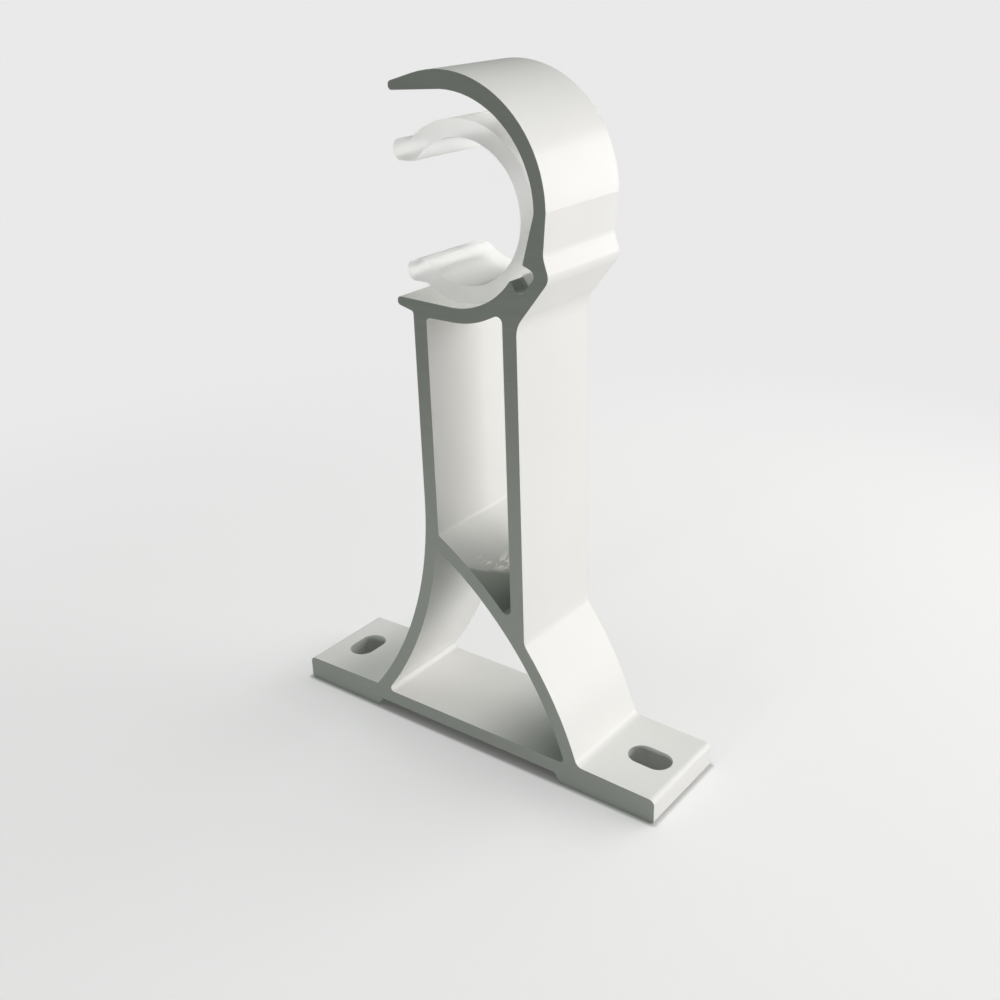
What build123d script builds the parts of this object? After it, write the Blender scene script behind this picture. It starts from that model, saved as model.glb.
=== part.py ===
from build123d import *
from math import acos, asin, atan2, cos, degrees, hypot, radians, sin, sqrt
import os

# Curtain rod bracket: a slice of a coated aluminium profile that stands on two slotted feet,
# with a flexible plastic liner keyed into the hook that holds the rod.
# Millimetres. X runs along the base, Y along the profile's length, Z up.
# The origin is the middle of the base, on the plane that the feet stand on.

os.makedirs("parts", exist_ok=True)

# Length of the slice along Y
depth = 22.0

# Base: two feet that taper outwards, joined by a plate with a shallow recess underneath
base_len = 90.0
foot_root = 5.8
foot_end = 5.3
plate_wall = 3.0
recess_depth = 2.2
recess_len = 48.6
recess_x = -0.6
recess_run = 1.4

# Screw slots, set in from the base's ends: the left one runs along Y and the right one along X
slot_width = 5.8
slot_len = 9.2
slot_inset = 7.4

# Post: two parallel walls
post_x = 4.0
post_width = 23.2
wall = 3.0

# Left leg: an arc that leaves the left wall's outer face without a break
leg_wall = 2.7
leg_radius = 76.3
leg_top = 53.6

# Strut: one arc that crosses the post as a web and runs on as the right leg
strut_wall = 2.9
strut_radius = 71.0
strut_x = -42.9
strut_z = -16.2

# Rod and its liner
rod_x = 1.7
rod_z = 109.4
rod_dia = 25.0
rod_gap = 0.25
liner_wall = 3.1
liner_setback = 3.5

# Liner lips, measured from the rod's axis
lip_wall = 3.8
upper_lip_rise = 8.0
upper_lip_reach = 14.9
lower_lip_drop = 9.5
lower_lip_reach = 13.1

# Cradle under the liner, with a shelf that runs out to the left
seat_gap = 0.1
cradle_wall = 2.7
shelf_reach = 12.9
shelf_rise = 0.4
shelf_wall = 1.5
shelf_root = 2.0

# Hook over the liner, thickest at its top; its centre is measured from the rod's axis
hook_shift = -0.6
hook_rise = 2.2
hook_radius = 18.6
hook_side_wall = 2.4
hook_top_wall = 3.1
hook_tip_wall = 1.45
hook_tip_reach = 11.4
hook_tip_drop = 0.6

# Groove for the liner's key: a dovetail whose mouth faces the rod
groove_angle = -39.0
groove_bearing = -29.7
groove_distance = 16.35
groove_mouth = 4.1
groove_floor = 6.1
groove_depth = 3.1
key_gap = 0.25

# Outside of the metal round the groove: a waist and a bulge, measured from the rod's axis, and
# the bulge's fall to the post
waist_reach = 19.7
waist_drop = 4.8
bulge_reach = 20.95
bulge_drop = 8.5
bulge_fall = 8.9

# Rounds
foot_top_round = 1.2
foot_bottom_round = 0.6
recess_round = 0.5
fold_round = 1.8
leg_foot_round = 0.8
corner_round = 0.9
cell_round = 1.2
bend_round = 3.0
shelf_round = 0.7
hook_tip_round = 0.7
hook_root_round = 4.0
groove_round = 1.2
groove_lip_round = 0.3
waist_round = 4.0
bulge_round = 2.5
bulge_root_round = 5.0
lip_round = 1.85
bore_round = 2.0

# Sizes that follow from the ones above
half_base = base_len / 2
slot_x = half_base - slot_inset
plate_top = recess_depth + plate_wall
post_left = post_x - post_width / 2
post_right = post_x + post_width / 2
leg_x = post_left - leg_radius
leg_inner = leg_radius + leg_wall
strut_outer = strut_radius + strut_wall
strut_middle = strut_radius + strut_wall / 2
liner_inner = rod_dia / 2 + rod_gap
liner_outer = liner_inner + liner_wall
cradle_inner = liner_outer + seat_gap
cradle_outer = cradle_inner + cradle_wall
seat_z = rod_z - cradle_inner
shelf_x = rod_x - shelf_reach
hook_x = rod_x + hook_shift
hook_z = rod_z + hook_rise
hook_outer = hook_radius + (hook_side_wall + hook_top_wall) / 2
hook_outer_x = hook_x + hook_radius + hook_side_wall - hook_outer
hook_outer_z = hook_z + hook_radius + hook_top_wall - hook_outer
hook_tip_x = hook_x - hook_tip_reach
hook_tip_z = hook_z + hook_radius - hook_tip_drop
groove_x = rod_x + groove_distance * cos(radians(groove_bearing))
groove_z = rod_z + groove_distance * sin(radians(groove_bearing))
waist_x = rod_x + waist_reach
waist_z = rod_z - waist_drop
bulge_x = rod_x + bulge_reach
bulge_z = rod_z - bulge_drop
bulge_root_z = bulge_z - bulge_fall


def arc_x(centre_x, centre_z, radius, z):
    """X of the right-hand side of a circle at height z."""
    return centre_x + sqrt(radius**2 - (z - centre_z) ** 2)


def arc_z(centre_x, centre_z, radius, x):
    """Height of the upper side of a circle at x."""
    return centre_z + sqrt(radius**2 - (x - centre_x) ** 2)


def rise_angle(height, radius):
    """Angle above the horizontal, in degrees, of the point at a height on a circle."""
    return degrees(asin(height / radius))


def groove_point(along, across):
    """A point in the groove's own directions: along its axis from the mouth, and across it."""
    turn = radians(groove_angle)
    x = groove_x + along * cos(turn) - across * sin(turn)
    z = groove_z + along * sin(turn) + across * cos(turn)
    return (x, z)


def dovetail(gap, lead):
    """Corners of the groove drawn in by a gap, with its mouth run back towards the rod by a lead."""
    half_mouth = groove_mouth / 2
    flare = (groove_floor - groove_mouth) / 2 / groove_depth
    floor = groove_depth - gap
    half_floor = half_mouth + flare * floor - gap
    return [
        groove_point(-lead, gap - half_mouth),
        groove_point(0, gap - half_mouth),
        groove_point(floor, -half_floor),
        groove_point(floor, half_floor),
        groove_point(0, half_mouth - gap),
        groove_point(-lead, half_mouth - gap),
    ]


def corners(sketch, *places):
    """The corners of a sketch that are nearest to the places given."""
    return [sketch.vertices().sort_by_distance(place)[0] for place in places]


# Bracket body: one profile, extruded along Y
with BuildPart() as bracket_body:
    with BuildSketch(Plane.XZ) as profile:
        # Base: feet and plate
        left_foot_x = arc_x(leg_x, leg_top, leg_inner, foot_root) - leg_wall / 2
        right_foot_x = arc_x(strut_x, strut_z, strut_middle, foot_root)
        recess_left = recess_x - recess_len / 2
        recess_right = recess_x + recess_len / 2
        with BuildLine():
            Polyline(
                (-half_base, 0),
                (recess_left, 0),
                (recess_left + recess_run, recess_depth),
                (recess_right - recess_run, recess_depth),
                (recess_right, 0),
                (half_base, 0),
                (half_base, foot_end),
                (right_foot_x, foot_root),
                (right_foot_x, plate_top),
                (left_foot_x, plate_top),
                (left_foot_x, foot_root),
                (-half_base, foot_end),
                close=True,
            )
        make_face()

        # Left leg
        leg_drop = leg_top - plate_top + plate_wall / 2
        with BuildLine():
            outside = CenterArc((leg_x, leg_top), leg_radius, 0, -rise_angle(leg_drop, leg_radius))
            inside = CenterArc((leg_x, leg_top), leg_inner, 0, -rise_angle(leg_drop, leg_inner))
            Line(outside @ 0, inside @ 0)
            Line(outside @ 1, inside @ 1)
        make_face()

        # Strut, from the left wall down to the right foot
        strut_rise = plate_top - plate_wall / 2 - strut_z
        strut_reach = post_left + wall / 2 - strut_x
        outer_start = rise_angle(strut_rise, strut_outer)
        inner_start = rise_angle(strut_rise, strut_radius)
        outer_end = degrees(acos(strut_reach / strut_outer))
        inner_end = degrees(acos(strut_reach / strut_radius))
        with BuildLine():
            outside = CenterArc((strut_x, strut_z), strut_outer, outer_start, outer_end - outer_start)
            inside = CenterArc((strut_x, strut_z), strut_radius, inner_start, inner_end - inner_start)
            Line(outside @ 0, inside @ 0)
            Line(outside @ 1, inside @ 1)
        make_face()

        # Post walls, from the strut up to the cradle
        left_base = arc_z(strut_x, strut_z, strut_middle, post_left + wall)
        right_base = arc_z(strut_x, strut_z, strut_middle, post_right - wall / 2)
        with Locations((post_left, left_base)):
            Rectangle(wall, seat_z - cradle_wall / 2 - left_base, align=Align.MIN)
        with Locations((post_right - wall, right_base)):
            Rectangle(wall, bulge_root_z - right_base, align=Align.MIN)

        # Head: shelf, cradle, metal round the groove, and hook
        mouth_low = groove_point(0, -groove_mouth / 2)
        mouth_high = groove_point(0, groove_mouth / 2)
        seat_end = -rise_angle(rod_z - mouth_low[1], hypot(mouth_low[0] - rod_x, mouth_low[1] - rod_z))
        under_start = -degrees(acos((post_right - wall - rod_x) / cradle_outer))
        tip = (hook_tip_x, hook_tip_z + hook_tip_wall)
        tip_distance = hypot(tip[0] - hook_outer_x, tip[1] - hook_outer_z)
        tip_bearing = degrees(atan2(tip[1] - hook_outer_z, tip[0] - hook_outer_x))
        hook_outer_end = tip_bearing - degrees(acos(hook_outer / tip_distance))
        with BuildLine():
            seat = CenterArc((rod_x, rod_z), cradle_inner, -90, 90 + seat_end)
            hook_inside = CenterArc((hook_x, hook_z), hook_radius, 0, 90)
            hook_outside = CenterArc((hook_outer_x, hook_outer_z), hook_outer, 0, hook_outer_end)
            underside = CenterArc((rod_x, rod_z), cradle_outer, -90, 90 + under_start)
            Polyline(seat @ 1, mouth_high, hook_inside @ 0)
            Polyline(hook_inside @ 1, (hook_tip_x, hook_tip_z), tip, hook_outside @ 1)
            Polyline(
                hook_outside @ 0,
                (waist_x, waist_z),
                (bulge_x, bulge_z),
                (post_right, bulge_root_z),
                (post_right - wall, bulge_root_z),
                underside @ 1,
            )
            Polyline(
                underside @ 0,
                (post_left, rod_z - cradle_outer),
                (post_left, seat_z - shelf_root),
                (shelf_x, seat_z + shelf_rise - shelf_wall),
                (shelf_x, seat_z + shelf_rise),
                seat @ 0,
            )
        make_face()

        # Groove
        with BuildSketch(mode=Mode.PRIVATE) as groove:
            with BuildLine():
                Polyline(*dovetail(0, liner_wall / 2), close=True)
            make_face()
            groove_corners = dovetail(0, 0)[2:4]
            fillet(corners(groove, *groove_corners), groove_round)
        add(groove.sketch, mode=Mode.SUBTRACT)

        # Rounds of the base
        ends = ((-half_base, foot_end), (half_base, foot_end))
        fillet(corners(profile, *ends), foot_top_round)
        ends = ((-half_base, 0), (half_base, 0))
        fillet(corners(profile, *ends), foot_bottom_round)
        recess_ends = ((recess_left + recess_run, recess_depth), (recess_right - recess_run, recess_depth))
        fillet(corners(profile, *recess_ends), recess_round)
        fold_x = arc_x(strut_x, strut_z, strut_outer, foot_root)
        fillet(corners(profile, (fold_x, foot_root)), fold_round)
        fillet(corners(profile, (left_foot_x, foot_root)), leg_foot_round)

        # Rounds of the two cells, and of the bend where the post meets the right leg
        web_z = arc_z(strut_x, strut_z, strut_outer, post_left + wall)
        apex_z = arc_z(strut_x, strut_z, strut_radius, post_left + leg_wall)
        cell_corners = (
            (left_foot_x + leg_wall, plate_top),
            (arc_x(strut_x, strut_z, strut_radius, plate_top), plate_top),
            (post_left + leg_wall, apex_z),
            (post_left + wall, web_z),
            (post_left + wall, rod_z - cradle_outer),
        )
        fillet(corners(profile, *cell_corners), corner_round)
        v_z = arc_z(strut_x, strut_z, strut_outer, post_right - wall)
        fillet(corners(profile, (post_right - wall, v_z)), cell_round)
        fillet(corners(profile, underside @ 1), cell_round)
        bend_z = arc_z(strut_x, strut_z, strut_outer, post_right)
        fillet(corners(profile, (post_right, bend_z)), bend_round)

        # Rounds of the head
        shelf_corners = (
            (post_left, seat_z - shelf_root),
            (shelf_x, seat_z + shelf_rise - shelf_wall),
            (shelf_x, seat_z + shelf_rise),
        )
        fillet(corners(profile, *shelf_corners), shelf_round)
        fillet(corners(profile, (hook_tip_x, hook_tip_z), tip), hook_tip_round)
        fillet(corners(profile, hook_inside @ 0), hook_root_round)
        fillet(corners(profile, mouth_low, mouth_high), groove_lip_round)
        fillet(corners(profile, (waist_x, waist_z)), waist_round)
        fillet(corners(profile, (bulge_x, bulge_z)), bulge_round)
        fillet(corners(profile, (post_right, bulge_root_z)), bulge_root_round)
    extrude(amount=depth / 2, both=True)

    # Screw slots
    with BuildSketch(Plane.XY):
        with Locations((slot_x, 0)):
            SlotOverall(slot_len, slot_width)
        with Locations((-slot_x, 0)):
            SlotOverall(slot_len, slot_width, rotation=90)
    extrude(amount=foot_root, mode=Mode.SUBTRACT)

# Liner: an open ring with two lips and a key, flush with the back of the bracket
with BuildPart() as rod_liner:
    with BuildSketch(Plane.XZ.offset(-depth / 2)) as section:
        upper_top = upper_lip_rise + lip_wall
        lower_bottom = lower_lip_drop + lip_wall
        inner_start = 180 - rise_angle(upper_lip_rise, liner_inner)
        inner_turn = 180 - rise_angle(lower_lip_drop, liner_inner) + inner_start
        outer_start = 180 - rise_angle(upper_top, liner_outer)
        outer_turn = 180 - rise_angle(lower_bottom, liner_outer) + outer_start
        upper_tip_x = rod_x - upper_lip_reach
        lower_tip_x = rod_x - lower_lip_reach
        upper_lip = ((upper_tip_x, rod_z + upper_lip_rise), (upper_tip_x, rod_z + upper_top))
        lower_lip = ((lower_tip_x, rod_z - lower_lip_drop), (lower_tip_x, rod_z - lower_bottom))
        with BuildLine():
            bore = CenterArc((rod_x, rod_z), liner_inner, inner_start, -inner_turn)
            outside = CenterArc((rod_x, rod_z), liner_outer, outer_start, -outer_turn)
            Polyline(bore @ 0, *upper_lip, outside @ 0)
            Polyline(bore @ 1, *lower_lip, outside @ 1)
        make_face()
        fillet(corners(section, *upper_lip, *lower_lip), lip_round)
        fillet(corners(section, bore @ 0, bore @ 1), bore_round)
        fillet(corners(section, outside @ 0, outside @ 1), corner_round)

        # Key that fills the groove
        with BuildSketch(mode=Mode.PRIVATE) as key:
            with BuildLine():
                Polyline(*dovetail(key_gap, liner_wall / 2), close=True)
            make_face()
            key_corners = dovetail(key_gap, 0)[2:4]
            fillet(corners(key, *key_corners), groove_round)
        add(key.sketch)
    extrude(amount=depth - liner_setback)

bracket_body.part.label = "bracket_body"
rod_liner.part.label = "rod_liner"
export_step(bracket_body.part, "parts/bracket_body.step")
export_step(rod_liner.part, "parts/rod_liner.step")
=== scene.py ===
# %% [markdown]
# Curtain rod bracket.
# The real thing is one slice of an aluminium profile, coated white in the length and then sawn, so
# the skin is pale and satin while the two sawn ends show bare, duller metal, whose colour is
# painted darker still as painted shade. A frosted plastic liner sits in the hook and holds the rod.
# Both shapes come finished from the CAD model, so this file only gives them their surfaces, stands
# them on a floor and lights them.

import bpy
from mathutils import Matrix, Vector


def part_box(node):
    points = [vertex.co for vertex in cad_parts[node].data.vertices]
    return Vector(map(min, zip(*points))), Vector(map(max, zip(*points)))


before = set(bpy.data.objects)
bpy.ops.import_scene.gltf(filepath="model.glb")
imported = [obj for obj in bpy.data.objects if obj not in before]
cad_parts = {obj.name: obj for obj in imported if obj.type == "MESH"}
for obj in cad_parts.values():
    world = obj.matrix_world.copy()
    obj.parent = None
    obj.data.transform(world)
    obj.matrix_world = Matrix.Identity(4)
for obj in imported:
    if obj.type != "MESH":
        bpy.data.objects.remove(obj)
print("CAD nodes:", sorted(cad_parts))

# %% [markdown]
# The CAD box is read before anything is made. Looks must never change the size of a part.

# %% Keep the CAD box
import math

import bpy
from mathutils import Quaternion, Vector

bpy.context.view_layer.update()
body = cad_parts["bracket_body"]
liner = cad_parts["rod_liner"]
body_low, body_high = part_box("bracket_body")
half_length = (body_high[1] - body_low[1]) / 2
for piece in (body, liner):
    print(piece.name, "triangles:", len(piece.data.polygons))

# %% [markdown]
# The camera. A photograph fixes four things: where the camera stood, where it looked, how far it
# was turned about its own axis, and the angle of view. Azimuth and elevation say from which side
# the bracket is seen, and a small roll levels the picture as the photographer held it.

# %% Camera at the photograph's viewing angle
AZIMUTH, ELEVATION, ROLL = 37.97, 24.46, 1.87
CAMERA_PLACE = (0.1364, -0.1718, 0.1513)
LENS_MM, SENSOR_MM = 43.85, 36
NEAREST_SEEN = 0.01


def toward(azimuth, elevation=0):
    """Unit vector from the bracket to a side of the set, for two angles in degrees."""
    a, e = math.radians(azimuth), math.radians(elevation)
    return Vector((math.sin(a) * math.cos(e), -math.cos(a) * math.cos(e), math.sin(e)))


camera_data = bpy.data.cameras.new("view")
camera_data.lens = LENS_MM
camera_data.sensor_width = SENSOR_MM
camera_data.clip_start = NEAREST_SEEN
camera = bpy.data.objects.new("view", camera_data)
bpy.context.scene.collection.objects.link(camera)
camera.location = CAMERA_PLACE
camera.rotation_mode = "QUATERNION"
level = (-toward(AZIMUTH, ELEVATION)).to_track_quat("-Z", "Y")
camera.rotation_quaternion = level @ Quaternion((0, 0, 1), -math.radians(ROLL))
bpy.context.scene.camera = camera
print("camera at", [round(v, 3) for v in camera.location])

# %% [markdown]
# A material is a small network of nodes, and so is the world. The first helpers begin a network,
# add a node with its settings and end the network, so that the cells below read as recipes: what
# is made, and what feeds what.

# %% Helpers for node recipes
def start_material(name):
    """A node material without any nodes."""
    material = bpy.data.materials.new(name)
    material.use_nodes = True
    material.node_tree.nodes.clear()
    return material


def add_node(owner, kind, inputs=(), **settings):
    """A node with its settings; an input is a value, or the socket that feeds it."""
    node = owner.node_tree.nodes.new(kind)
    for key, value in settings.items():
        setattr(node, key, value)
    for key, value in dict(inputs).items():
        if isinstance(value, bpy.types.NodeSocket):
            owner.node_tree.links.new(value, node.inputs[key])
        else:
            node.inputs[key].default_value = value
    return node


def finish_material(material, shader):
    """Ends the recipe: the shader becomes the material's surface."""
    add_node(material, "ShaderNodeOutputMaterial", {"Surface": shader.outputs[0]})
    print(material.name, "has", len(material.node_tree.nodes), "nodes")


def flat(red, green=None, blue=None):
    """An even colour, or a grey when only one number is given."""
    return (red, red if green is None else green, red if blue is None else blue, 1)


print("a middle grey is", flat(0.5))

# %% [markdown]
# A recipe often has to work out where a point lies: how far off, and past which edge. Two helpers
# do the sums, one on numbers and one on places. The third is a ramp, which turns a distance into a
# share between two ends, and so softens an edge that would otherwise be a hard line.

# %% Helpers for sums and ramps
def join(owner, operation, *values):
    """Arithmetic on numbers and sockets, taken one after the other."""
    result = values[0]
    for value in values[1:]:
        inputs = {0: result, 1: value}
        result = add_node(owner, "ShaderNodeMath", inputs, operation=operation).outputs[0]
    return result


def join_vectors(owner, operation, *values):
    """One step of arithmetic on places; gives the node's outputs."""
    inputs = dict(enumerate(values))
    return add_node(owner, "ShaderNodeVectorMath", inputs, operation=operation).outputs


def ramp(owner, value, low, high, first=0.0, last=1.0, shape="LINEAR"):
    """Goes from first to last while the value goes from low to high."""
    inputs = {0: value, 1: low, 2: high, 3: first, 4: last}
    return add_node(owner, "ShaderNodeMapRange", inputs, interpolation_type=shape).outputs[0]


print("helpers for sums and ramps are ready")

# %% [markdown]
# The floor is a wide pale sheet that takes the bracket's soft shadow. Close to the bracket it is
# lit paper, and further out the camera sees one even tone, so that the backdrop has no horizon,
# which is what a seamless paper sweep does in a studio. The recipe starts with measures: how far a
# point of the floor is from the middle, and whether it is clear of the base, which is a plain
# rectangle and needs no more than its half width and half length.

# %% Floor: near, far, and clear of the base
NEAR_END, FAR_START = 0.11, 0.27
PAINTED_CONTACT_SHADOW_WIDTH = 0.0014
ANY_HEIGHT = 1

floor_paper = start_material("floor_paper")
place = add_node(floor_paper, "ShaderNodeNewGeometry").outputs["Position"]
distance = join_vectors(floor_paper, "LENGTH", place)["Value"]
far = ramp(floor_paper, distance, NEAR_END, FAR_START, shape="SMOOTHSTEP")
sizes = join_vectors(floor_paper, "ABSOLUTE", place)[0]
base_half = (body_high[0], half_length, ANY_HEIGHT)
past_edges = join_vectors(floor_paper, "SUBTRACT", sizes, base_half)[0]
outside_by = join_vectors(floor_paper, "MAXIMUM", past_edges, (0, 0, 0))[0]
from_base = join_vectors(floor_paper, "LENGTH", outside_by)["Value"]
# Painted contact shadow: the paper's brightness is cut off under the base and in a narrow band
# around it.
clear_of_painted_contact_shadow = ramp(floor_paper, from_base, 0, PAINTED_CONTACT_SHADOW_WIDTH, shape="SMOOTHERSTEP")
print("paper turns into backdrop from", NEAR_END, "to", FAR_START, "m")

# %% [markdown]
# Pale paper on a lit set is brightened by all the light around it. A little brightness of its own
# stands for that. It stops in a narrow band at the base, which paints a dark contact shadow there,
# and it is there for the camera only, because as real light it would shine on the bracket from
# below.

# %% Floor: the paper and the sheet
BACKDROP, PAPER_TONE, PAPER_LIFT = 0.82, 0.62, 0.35
FLOOR_WIDTH = 16


def seen_rays(owner):
    """1 for a ray from the camera, also by way of a mirror or through the liner."""
    ray = add_node(owner, "ShaderNodeLightPath").outputs
    kinds = ("Is Camera Ray", "Is Glossy Ray", "Is Transmission Ray")
    return join(owner, "MAXIMUM", *(ray[kind] for kind in kinds))


seen = seen_rays(floor_paper)
lift_strength = join(floor_paper, "MULTIPLY", clear_of_painted_contact_shadow, seen)
far_seen = join(floor_paper, "MULTIPLY", far, seen)
paper = add_node(floor_paper, "ShaderNodeBsdfDiffuse", {"Color": flat(PAPER_TONE)})
lift = add_node(
    floor_paper, "ShaderNodeEmission", {"Color": flat(PAPER_LIFT), "Strength": lift_strength}
)
near = add_node(floor_paper, "ShaderNodeAddShader", {0: paper.outputs[0], 1: lift.outputs[0]})
even = add_node(floor_paper, "ShaderNodeEmission", {"Color": flat(BACKDROP), "Strength": 1})
sweep = add_node(
    floor_paper, "ShaderNodeMixShader", {0: far_seen, 1: near.outputs[0], 2: even.outputs[0]}
)
finish_material(floor_paper, sweep)

bpy.ops.object.select_all(action="DESELECT")
bpy.ops.mesh.primitive_plane_add(size=FLOOR_WIDTH, location=(0, 0, 0))
floor = bpy.context.object
floor.name = "floor"
floor.data.materials.append(floor_paper)
print("floor", floor.dimensions.x, "m wide")

# %% [markdown]
# The light. A wide soft lamp stands behind the bracket on the right: it gives the right-hand faces
# their near white, shines through the liner and leaves the sawn front in shade. A small lamp far in
# front lifts that front evenly. It is kept out of reflections, because the flat sawn metal would
# show it as one glaring patch.

# %% Lamps
def soft_lamp(name, azimuth, elevation, distance, width, height, watts, colour, target_height):
    """A rectangular lamp that faces a point over the middle of the base from a direction."""
    data = bpy.data.lights.new(name, "AREA")
    data.shape = "RECTANGLE"
    data.size, data.size_y = width, height
    data.energy = watts
    data.color = colour
    lamp = bpy.data.objects.new(name, data)
    bpy.context.scene.collection.objects.link(lamp)
    away = toward(azimuth, elevation)
    lamp.location = Vector((0, 0, target_height)) + away * distance
    lamp.rotation_mode = "QUATERNION"
    lamp.rotation_quaternion = (-away).to_track_quat("-Z", "Y")
    lamp.visible_camera = False
    print(name, watts, "W")
    return lamp


soft_lamp(
    "key",
    azimuth=141,
    elevation=8,
    distance=0.6,
    width=0.78,
    height=0.34,
    watts=4.05,
    colour=(1.0, 0.98, 0.965),
    target_height=0.09,
)
front_lamp = soft_lamp(
    "front",
    azimuth=-1,
    elevation=4,
    distance=1.5,
    width=0.25,
    height=0.3,
    watts=11.3,
    colour=(0.98, 1.0, 0.98),
    target_height=0.03,
)
front_lamp.visible_glossy = False

# %% [markdown]
# The world fills the shade with a dim light that comes mostly from above and a little from behind.
# The camera doesn't see that light. It sees the even backdrop instead, and so do reflections.

# %% World: fill and backdrop
FILL_LOW, FILL_HIGH = 0.07, 0.73
FILL_COLOUR = flat(0.97, 1.0, 0.97)
CEILING = (0.0, 0.3, 0.95)

world = bpy.data.worlds.new("studio")
bpy.context.scene.world = world
world.use_nodes = True
world.node_tree.nodes.clear()
way = add_node(world, "ShaderNodeTexCoord").outputs["Generated"]
toward_ceiling = join_vectors(world, "DOT_PRODUCT", way, CEILING)["Value"]
strength = ramp(world, toward_ceiling, 0, 1, FILL_LOW, FILL_HIGH)
fill = add_node(world, "ShaderNodeBackground", {"Color": FILL_COLOUR, "Strength": strength})
backdrop = add_node(world, "ShaderNodeBackground", {"Color": flat(BACKDROP)})
sky = add_node(
    world,
    "ShaderNodeMixShader",
    {0: seen_rays(world), 1: fill.outputs[0], 2: backdrop.outputs[0]},
)
add_node(world, "ShaderNodeOutputWorld", {"Surface": sky.outputs[0]})
bpy.context.scene.view_settings.view_transform = "Standard"
print("world fill", FILL_LOW, "to", FILL_HIGH, "and backdrop", BACKDROP)

# %% [markdown]
# Dark cards. A satin surface shows what stands opposite it, and on a pale set that would wash out
# the hook's top and the sawn front. A photographer stands dark cards where those surfaces look, so
# that they keep their depth. These two cards are there for reflections only.

# %% Dark cards
FELT = flat(0.19, 0.205, 0.185)
card_felt = start_material("card_felt")
felt = add_node(card_felt, "ShaderNodeEmission", {"Color": FELT, "Strength": 1})
finish_material(card_felt, felt)


def dark_card(name, azimuth, distance, width, bottom, top):
    """An upright card that faces the bracket from a direction, between two heights."""
    middle = toward(azimuth) * distance + Vector((0, 0, (bottom + top) / 2))
    bpy.ops.object.select_all(action="DESELECT")
    bpy.ops.mesh.primitive_plane_add(
        size=1, location=middle, rotation=(math.radians(90), 0, math.radians(azimuth))
    )
    card = bpy.context.object
    card.name = name
    card.scale = (width, top - bottom, 1)
    card.data.materials.append(card_felt)
    card.visible_camera = False
    card.visible_diffuse = False
    card.visible_transmission = False
    card.visible_shadow = False
    print(name, "at", [round(v, 2) for v in middle])


dark_card("card_behind", azimuth=205, distance=0.9, width=1.4, bottom=0.13, top=0.9)
dark_card("card_before", azimuth=-35, distance=0.19, width=0.4, bottom=0.0, top=0.3)

# %% [markdown]
# The surfaces need unevenness, and nearly all of it comes from soft noise: as it is, drawn out
# along an axis, or used as the share in a blend of two colours. Noise on the object's own
# coordinates needs no picture file and stays on the bracket when the bracket is moved.

# %% Helpers for noise and colour
def noise(owner, place, scale, detail):
    """Soft noise with so many bumps to the metre."""
    inputs = {"Vector": place, "Scale": scale, "Detail": detail}
    return add_node(owner, "ShaderNodeTexNoise", inputs).outputs[0]


def stretched(owner, place, scale, turn=(0, 0, 0)):
    """The place with its axes squeezed, which draws out a noise along them."""
    inputs = {"Vector": place, "Rotation": turn, "Scale": scale}
    return add_node(owner, "ShaderNodeMapping", inputs).outputs[0]


def blend_colours(owner, share, first, last):
    """The first colour where the share is 0, the last where it is 1."""
    inputs = {0: share, 6: first, 7: last}
    return add_node(owner, "ShaderNodeMix", inputs, data_type="RGBA").outputs[2]


print("helpers for noise and colour are ready")

# %% [markdown]
# The coated metal. Powder coat is never quite flat: close up it has a faint orange peel, and under
# it lie the long draw lines that the extrusion die leaves along the profile. Both are noises, the
# second one stretched along Y, the direction in which the metal left the die. They are far finer
# than a mesh should carry, so they stay in the surface.

# %% Coat: orange peel, draw lines and tone
COAT_DARKER, COAT_LIGHTER = flat(0.83, 0.822, 0.803), flat(0.88, 0.873, 0.858)
coated_metal = start_material("coated_metal")
spot = add_node(coated_metal, "ShaderNodeTexCoord").outputs["Object"]
peel = noise(coated_metal, spot, scale=900, detail=2)
along_die = stretched(coated_metal, spot, scale=(1, 0.02, 1))
draw_lines = noise(coated_metal, along_die, scale=700, detail=2)
cloud = noise(coated_metal, spot, scale=45, detail=3)
coat_colour = blend_colours(coated_metal, cloud, COAT_DARKER, COAT_LIGHTER)
coat_rough = ramp(coated_metal, draw_lines, 0.2, 0.8, first=0.2, last=0.26)
print("coat made of", len(coated_metal.node_tree.nodes), "nodes so far")

# %% [markdown]
# The sawn ends. A saw leaves fine parallel strokes across the metal and takes the coat with it.
# Their tones are set darker than bare aluminium is, and that part is painted shade.
# The strokes are a noise squeezed in one direction and turned a little, as a blade passes at an
# angle. They show a little in the colour and more in how sharply the end shines.

# %% Sawn ends: strokes, dull metal and painted shade
SAW_ANGLE = math.radians(24)
# These dark tones are partly bare metal and partly painted shade.
STROKE_DARKER, STROKE_LIGHTER = flat(0.24, 0.265, 0.24), flat(0.32, 0.345, 0.32)
SAWN_TONE = flat(0.28, 0.29, 0.265)
across_saw = stretched(coated_metal, spot, scale=(0.05, 0.05, 1), turn=(0, SAW_ANGLE, 0))
strokes = noise(coated_metal, across_saw, scale=2600, detail=3)
stroke_tone = blend_colours(coated_metal, strokes, STROKE_DARKER, STROKE_LIGHTER)
sawn_colour = blend_colours(coated_metal, cloud, stroke_tone, SAWN_TONE)
sawn_rough = ramp(coated_metal, strokes, 0.3, 0.7, first=0.34, last=0.46)
print("strokes turned by", round(math.degrees(SAW_ANGLE)), "degrees")

# %% [markdown]
# Where the metal differs from place to place, a mark says where: 1 in the place and 0 elsewhere.
# Marks are made by asking whether a number lies over or under a limit, and joined with both and
# either, in the same way as words in a sentence. Distances from a line along Y are enough to
# describe most of the profile, because an extrusion is the same all the way along.

# %% Helpers for marks on the coated metal
at = add_node(coated_metal, "ShaderNodeSeparateXYZ", {0: spot}).outputs
profile_spot = join_vectors(coated_metal, "MULTIPLY", spot, (1, 0, 1))[0]


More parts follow.
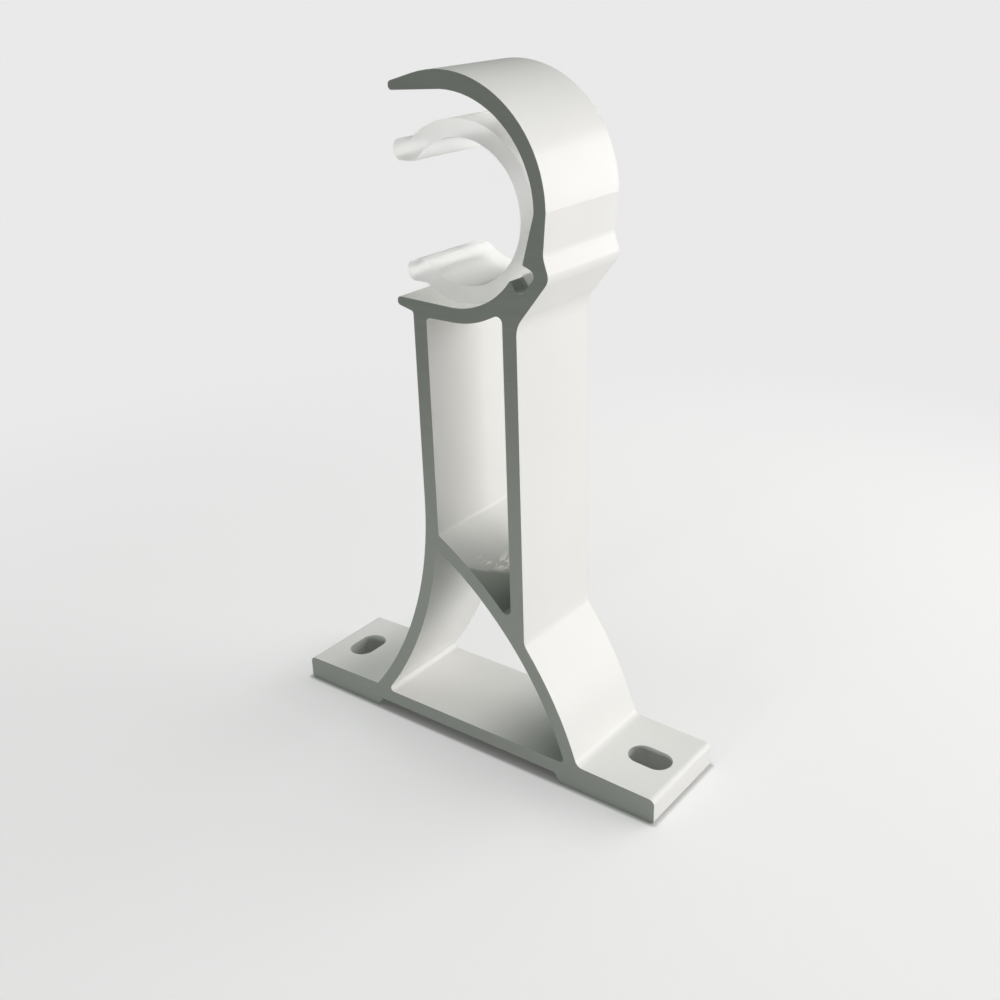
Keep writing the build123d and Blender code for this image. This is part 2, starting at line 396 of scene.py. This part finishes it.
def from_axis(x, z):
    """Distance of the point from a line that runs along Y through x and z."""
    return join_vectors(coated_metal, "DISTANCE", profile_spot, (x, 0, z))["Value"]


def over(value, limit):
    """1 where the value is over the limit."""
    return join(coated_metal, "GREATER_THAN", value, limit)


def under(value, limit):
    """1 where the value is under the limit."""
    return join(coated_metal, "LESS_THAN", value, limit)


def both(*marks):
    """1 where every mark is 1; also scales a mark by a number."""
    return join(coated_metal, "MULTIPLY", *marks)


def either(*marks):
    """The strongest of the marks."""
    return join(coated_metal, "MAXIMUM", *marks)


print("marks can be made along", list(at.keys()))

# %% [markdown]
# The hollow chambers need a mark of their own, because the painted corner shade, the bare corner
# and the runs are kept inside them. Their faces could be picked by hand, but a rule keeps working
# when the mesh is made anew. A point is set against the middle lines of the walls: it lies right of
# the left leg's line and of the left wall's, left of the right wall's or within the strut's circle,
# above the plate's middle and outside the cradle's circle. The lines and circles are the CAD's, in
# metres.

# %% Chambers: which points lie inside the walls
LEG_CENTRE, LEG_RADIUS, LEG_TOP = (-0.0839, 0.0536), 0.07765, 0.0536
STRUT_CENTRE, STRUT_RADIUS = (-0.0429, -0.0162), 0.07245
CRADLE_CENTRE, CRADLE_RADIUS = (0.0017, 0.1094), 0.0180
LEFT_WALL, RIGHT_WALL = -0.0061, 0.0141
PLATE_MIDDLE, SEAT_HEIGHT = 0.0037, 0.0950

beyond_leg = over(from_axis(*LEG_CENTRE), LEG_RADIUS)
beyond_left_wall = either(over(at["X"], LEFT_WALL), under(at["Z"], LEG_TOP))
within_strut = under(from_axis(*STRUT_CENTRE), STRUT_RADIUS)
before_right_wall = either(within_strut, under(at["X"], RIGHT_WALL))
above_plate = over(at["Z"], PLATE_MIDDLE)
below_cradle = both(
    under(at["Z"], SEAT_HEIGHT), over(from_axis(*CRADLE_CENTRE), CRADLE_RADIUS)
)
is_inside = both(beyond_leg, beyond_left_wall, before_right_wall, above_plate, below_cradle)
print("chambers lie between", PLATE_MIDDLE, "m and", SEAT_HEIGHT, "m up")

# %% [markdown]
# Painted shade in the corners. The colour is darkened where shade falls: sharply in the acute
# corner at the foot of the post's chamber, softly toward the corners of the legs and the base.
# Powder is carried by an electric field, and the field does not reach into tight places, so the
# sharp corner also gets the shine of bare metal. Each place is the surroundings of a line along Y.
# A noise makes its edge ragged, and the sharp one widens toward the sawn front.

# %% Corners: painted shade, and bare metal in the sharp one
POST_CORNER, BASE_CORNER, LEG_ROOT = (0.0126, 0.0326), (0.0248, 0.0052), (-0.0300, 0.0058)
RAG_DEPTH = 0.0012
FRONT_LEAN, LEAN_END = -0.0047, -0.0035


def less(first, second):
    """The first number without the second."""
    return join(coated_metal, "SUBTRACT", first, second)


rag = noise(coated_metal, spot, scale=420, detail=3)
raggedness = both(less(rag, 0.5), RAG_DEPTH)


def ragged_fade(reach, full, none):
    """1 where the reach is below full, falling to 0 where it is none."""
    ragged_reach = join(coated_metal, "ADD", reach, raggedness)
    return ramp(coated_metal, ragged_reach, full, none, first=1, last=0, shape="SMOOTHSTEP")


lean = ramp(coated_metal, at["Y"], -half_length, LEAN_END, first=FRONT_LEAN, last=0)
from_post_corner = join(coated_metal, "ADD", from_axis(*POST_CORNER), lean)
# Painted shade: these marks darken the colour where shade falls in the corners.
post_corner_shade = ragged_fade(from_post_corner, full=0.0080, none=0.0102)
post_shade = both(ragged_fade(from_post_corner, full=0.0080, none=0.0270), 0.45)
base_shade = both(ragged_fade(from_axis(*BASE_CORNER), full=0.0, none=0.0280), 0.95)
leg_shade = both(ragged_fade(from_axis(*LEG_ROOT), full=0.0, none=0.0120), 0.3)
painted_corner_shade = both(either(post_corner_shade, post_shade, base_shade), is_inside)
# The printed places are where the painted corner shade lies.
print("thin coat toward", POST_CORNER, BASE_CORNER, "and", LEG_ROOT)

# %% [markdown]
# The groove that holds the liner's key is as tight as the corners, so its walls get the shine of
# bare metal too, and near the front a dark colour that is painted shade. Further in the mark fades,
# because the liner covers the groove there and the painted shade would only grey the plastic.

# %% Groove: bare walls and painted shade near the front
GROOVE_CENTRE, GROOVE_REACH = (0.01707, 0.10036), 0.0036
GROOVE_FADE, GROOVE_REST = (-0.0085, -0.0035), 0.15
groove_depth = ramp(coated_metal, at["Y"], *GROOVE_FADE, first=1, last=GROOVE_REST)
in_groove = both(under(from_axis(*GROOVE_CENTRE), GROOVE_REACH), groove_depth)
print("groove mark reaches", GROOVE_REACH, "m")

# %% [markdown]
# The slots are punched after coating, so their walls are partly bare, and their darker colour is
# partly that metal and partly painted shade. A slot is the set of points that lie within one radius
# of a short line, and that is how its wall is found.

# %% Slots: punched walls and painted shade
SLOT_PLACE, SLOT_REACH, SLOT_RADIUS = 0.0376, 0.0017, 0.00294
FOOT_TOP = 0.0060
SLOT_BARE = 0.55


def size_of(value):
    """The value without its sign."""
    return add_node(coated_metal, "ShaderNodeMath", {0: value}, operation="ABSOLUTE").outputs[0]


def slot_wall(x, along_x=0, along_y=0):
    """1 on the wall of a slot that is centred at x and runs along by so much each way."""
    beyond_x = either(less(size_of(less(at["X"], x)), along_x), 0)
    beyond_y = either(less(size_of(at["Y"]), along_y), 0)
    squares = join(coated_metal, "ADD", both(beyond_x, beyond_x), both(beyond_y, beyond_y))
    return under(squares, SLOT_RADIUS**2)


right_slot = slot_wall(SLOT_PLACE, along_x=SLOT_REACH)
left_slot = slot_wall(-SLOT_PLACE, along_y=SLOT_REACH)
# The slot mark darkens the colour: partly bare metal, partly painted shade.
punched = both(either(right_slot, left_slot), under(at["Z"], FOOT_TOP), SLOT_BARE)
print("slots at", SLOT_PLACE, "m on both sides")

# %% [markdown]
# The painted shade and the bare places are now joined, in two marks. One holds every place and sets
# the tone. The other leaves out the soft shades and sets the shine, because the soft painted shade
# changes only the colour and leaves the coat as satin as elsewhere. The bare metal keeps a trace of
# the draw lines in its shine.

# %% All painted shade and bare places together
SHADE_AND_BARE_DARKER, SHADE_AND_BARE_LIGHTER = flat(0.24, 0.27, 0.24), flat(0.30, 0.33, 0.30)
post_bare = both(post_corner_shade, is_inside)
bare = either(post_bare, punched, in_groove)
bare_and_painted_shade = either(painted_corner_shade, leg_shade, punched, in_groove)
bare_and_shade_colour = blend_colours(coated_metal, cloud, SHADE_AND_BARE_DARKER, SHADE_AND_BARE_LIGHTER)
bare_rough = ramp(coated_metal, draw_lines, 0.3, 0.7, first=0.36, last=0.4)
print("metal recipe has", len(coated_metal.node_tree.nodes), "nodes so far")

# %% [markdown]
# Where the coat stops it piles up a little and leaves small runs, given as a bump. Their lighter
# colour is a painted highlight. They stand in a narrow strip beside the sharp corner, a little way
# in from the sawn front, where a noise is high.

# %% Runs and painted highlight beside the dark corner
RUN_HIGHLIGHT_COLOUR = flat(0.93, 0.92, 0.86)
RUN_LEVEL = 0.53
RUN_FADE = (-0.0085, -0.0050)
along_run = stretched(coated_metal, spot, scale=(1, 0.3, 1))
run_noise = noise(coated_metal, along_run, scale=900, detail=2)
beside_corner = less(ragged_fade(from_post_corner, full=0.0112, none=0.0130), post_corner_shade)
past_front = ramp(coated_metal, at["Y"], *RUN_FADE)
runs_and_painted_highlight = both(beside_corner, is_inside, past_front, over(run_noise, RUN_LEVEL))
print("runs where the noise is over", RUN_LEVEL)

# %% [markdown]
# Coat, bare or sawn metal. The sawn ends lie exactly at the two ends of the profile, so a point
# belongs to them when its distance from the middle along Y is the full half length. This needs no
# painted mask and stays true wherever the bracket is turned.

# %% Join the three finishes
ROUNDING = 0.00001
BARE_METALLIC, SAWN_METALLIC = 0.3, 0.6


def blend_numbers(owner, share, first, last):
    """The first number where the share is 0, the last where it is 1."""
    return add_node(owner, "ShaderNodeMix", {0: share, 2: first, 3: last}).outputs[0]


is_sawn = over(size_of(at["Y"]), half_length - ROUNDING)
# Painted shade and bare metal darken the long faces here.
long_faces = blend_colours(coated_metal, bare_and_painted_shade, coat_colour, bare_and_shade_colour)
# The runs' lighter colour here is a painted highlight.
with_painted_highlight = blend_colours(coated_metal, runs_and_painted_highlight, long_faces, RUN_HIGHLIGHT_COLOUR)
colour = blend_colours(coated_metal, is_sawn, with_painted_highlight, sawn_colour)
long_rough = blend_numbers(coated_metal, bare, coat_rough, bare_rough)
rough = blend_numbers(coated_metal, is_sawn, long_rough, sawn_rough)
metallic = blend_numbers(coated_metal, is_sawn, both(bare, BARE_METALLIC), SAWN_METALLIC)
print("sawn ends at", round(half_length, 4), "m from the middle")

# %% [markdown]
# The relief comes last: first the fine peel or the strokes, and over it the step where the coat
# ends and the runs stand up. Both are bumps, which bend the light without moving the surface, so
# the part keeps its exact size. One shader then takes everything.

# %% Relief, and the metal's shader
def bump(owner, height, strength, depth, normal=None):
    """A surface that seems raised where the height is large."""
    inputs = {"Height": height, "Strength": strength, "Distance": depth}
    if normal is not None:
        inputs["Normal"] = normal
    return add_node(owner, "ShaderNodeBump", inputs).outputs[0]


fine_height = blend_numbers(coated_metal, is_sawn, peel, strokes)
fine_relief = bump(coated_metal, fine_height, strength=0.12, depth=0.0001)
coat_edge = less(runs_and_painted_highlight, post_bare)
relief = bump(coated_metal, coat_edge, strength=0.5, depth=0.0003, normal=fine_relief)
metal_shader = add_node(
    coated_metal,
    "ShaderNodeBsdfPrincipled",
    {
        "Base Color": colour,
        "Roughness": rough,
        "Metallic": metallic,
        "Normal": relief,
        "Specular IOR Level": 0.12,
    },
)
finish_material(coated_metal, metal_shader)
body.data.materials.clear()
body.data.materials.append(coated_metal)

# %% [markdown]
# The liner is a soft, frosted plastic. Clear glass would show the seat through it and solid white
# would hide it, so the shader stands between the two. Most of the light passes, but a rough surface
# scatters it on the way, and what lies behind is a blur. The rest spreads inside, which is what
# subsurface scattering does. A smoother skin on top gives the lips their faint highlights, and a
# slow cloudiness and a soft bump keep it from looking like glass.

# %% Liner
MILK_DARKER, MILK_LIGHTER = flat(0.975, 0.975, 0.955), flat(0.995, 0.995, 0.98)
liner_plastic = start_material("liner_plastic")
liner_spot = add_node(liner_plastic, "ShaderNodeTexCoord").outputs["Object"]
milk = noise(liner_plastic, liner_spot, scale=160, detail=4)
milk_colour = blend_colours(liner_plastic, milk, MILK_DARKER, MILK_LIGHTER)
milk_rough = ramp(liner_plastic, milk, 0.3, 0.7, first=0.75, last=0.9)
ripple = noise(liner_plastic, liner_spot, scale=700, detail=2)
liner_relief = bump(liner_plastic, ripple, strength=0.1, depth=0.0001)
liner_shader = add_node(
    liner_plastic,
    "ShaderNodeBsdfPrincipled",
    {
        "Base Color": milk_colour,
        "Roughness": milk_rough,
        "Normal": liner_relief,
        "Subsurface Weight": 1.0,
        "Subsurface Radius": (1.0, 1.0, 0.95),
        "Subsurface Scale": 0.0012,
        "Transmission Weight": 0.87,
        "IOR": 1.2,
        "Coat Weight": 0.3,
        "Coat Roughness": 0.3,
    },
)
finish_material(liner_plastic, liner_shader)
liner.data.materials.clear()
liner.data.materials.append(liner_plastic)
